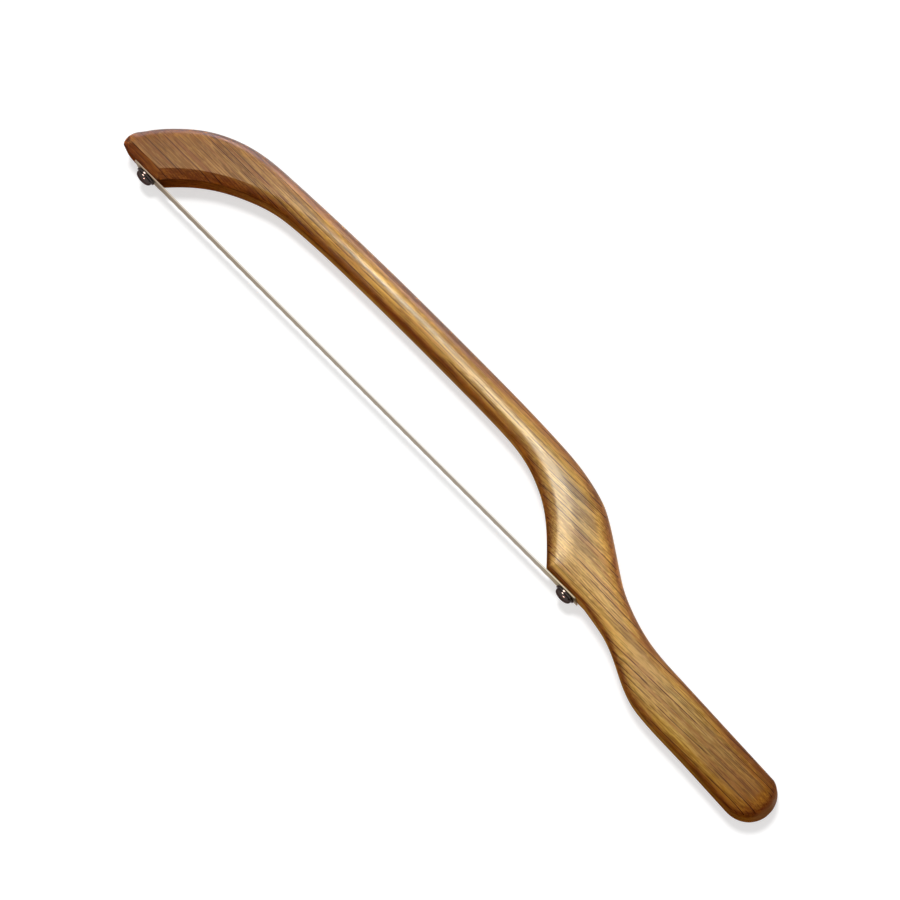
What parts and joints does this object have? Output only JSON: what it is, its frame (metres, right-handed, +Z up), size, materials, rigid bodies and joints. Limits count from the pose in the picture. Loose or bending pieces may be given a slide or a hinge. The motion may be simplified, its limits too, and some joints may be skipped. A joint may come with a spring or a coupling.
{
  "type": "bread bow knife",
  "caption": "Wooden bow with a flat grip at one end and a thin serrated steel blade strung across it by a screw and washer at each end, for slicing bread.",
  "frame": {"origin": "middle of the knife's footprint, on the surface it lies on, with the knife laid flat on its side", "axes": "+X along the blade from the tip to the handle, +Y from the blade towards the back of the bow, +Z up, away from the surface"},
  "size_m": [0.4136, 0.0628, 0.02],
  "materials": {
    "oiled_oak": "oiled, satin",
    "blade_steel": "fine ground stainless",
    "fixing_steel": "polished stainless"
  },
  "bodies": {
    "root": {"bow_frame": "oiled_oak", "blade": "blade_steel", "tip_washer": "fixing_steel", "handle_washer": "fixing_steel", "tip_screw": "fixing_steel", "handle_screw": "fixing_steel"}
  },
  "joints": []
}
